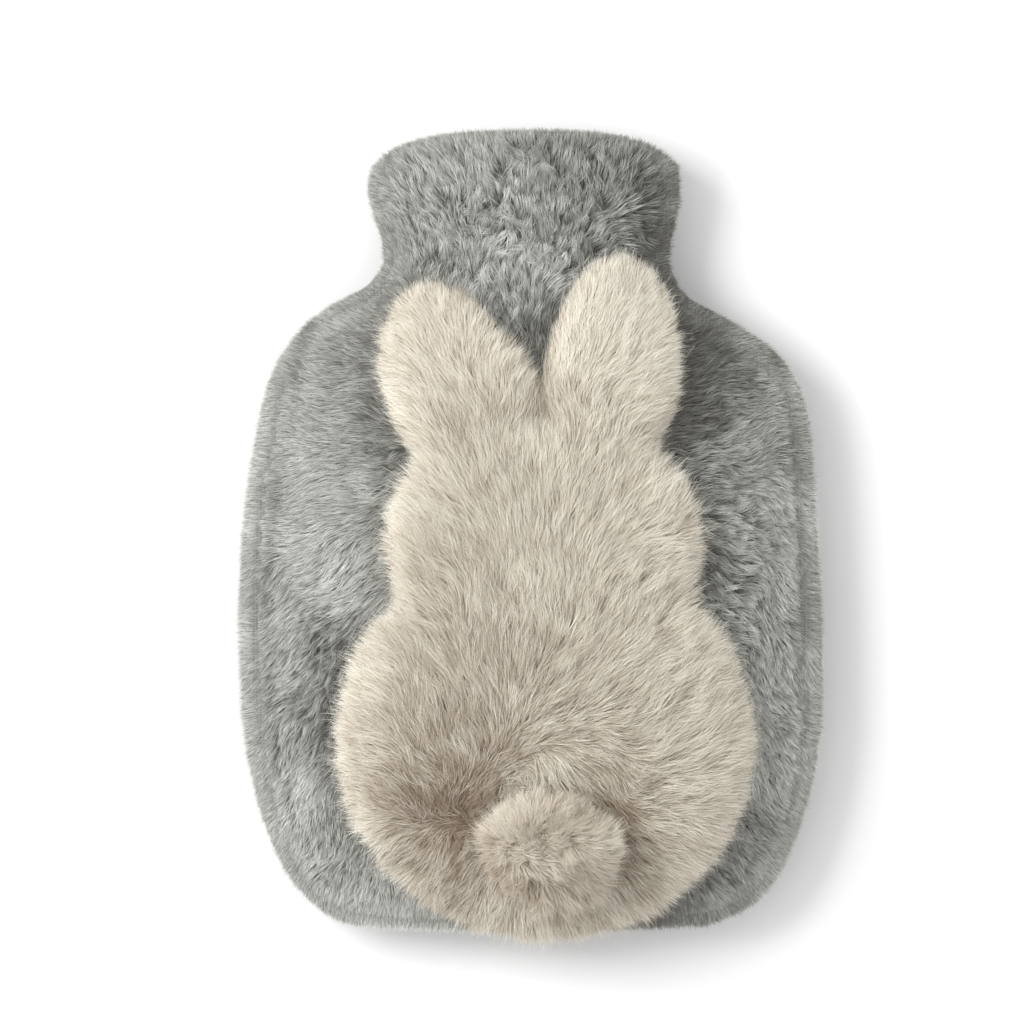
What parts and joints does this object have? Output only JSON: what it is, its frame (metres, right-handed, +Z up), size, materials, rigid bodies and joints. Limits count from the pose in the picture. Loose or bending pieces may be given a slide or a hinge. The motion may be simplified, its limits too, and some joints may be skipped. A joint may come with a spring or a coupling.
{
  "type": "hot water bottle cover",
  "caption": "Plush grey fur cover for a hot water bottle, open at its neck, with a cream fur rabbit seen from behind and its pompom tail sewn on the front.",
  "frame": {"origin": "middle of the cover's box in plan, at the height of the surface that its back lies on", "axes": "+Y towards the neck and its mouth, +Z up out of the front with the rabbit, +X to the right seen from above"},
  "size_m": [0.2104, 0.2914, 0.081],
  "materials": {
    "grey_fur": "grey faux fur with a short, dense, brushed pile",
    "cream_fur": "cream faux fur with a long pile, taupe at its roots",
    "tail_fur": "fluffy cream and taupe pompom"
  },
  "bodies": {
    "root": {"front_panel": "grey_fur", "back_panel": "grey_fur", "rabbit": "cream_fur", "tail": "tail_fur"}
  },
  "joints": []
}
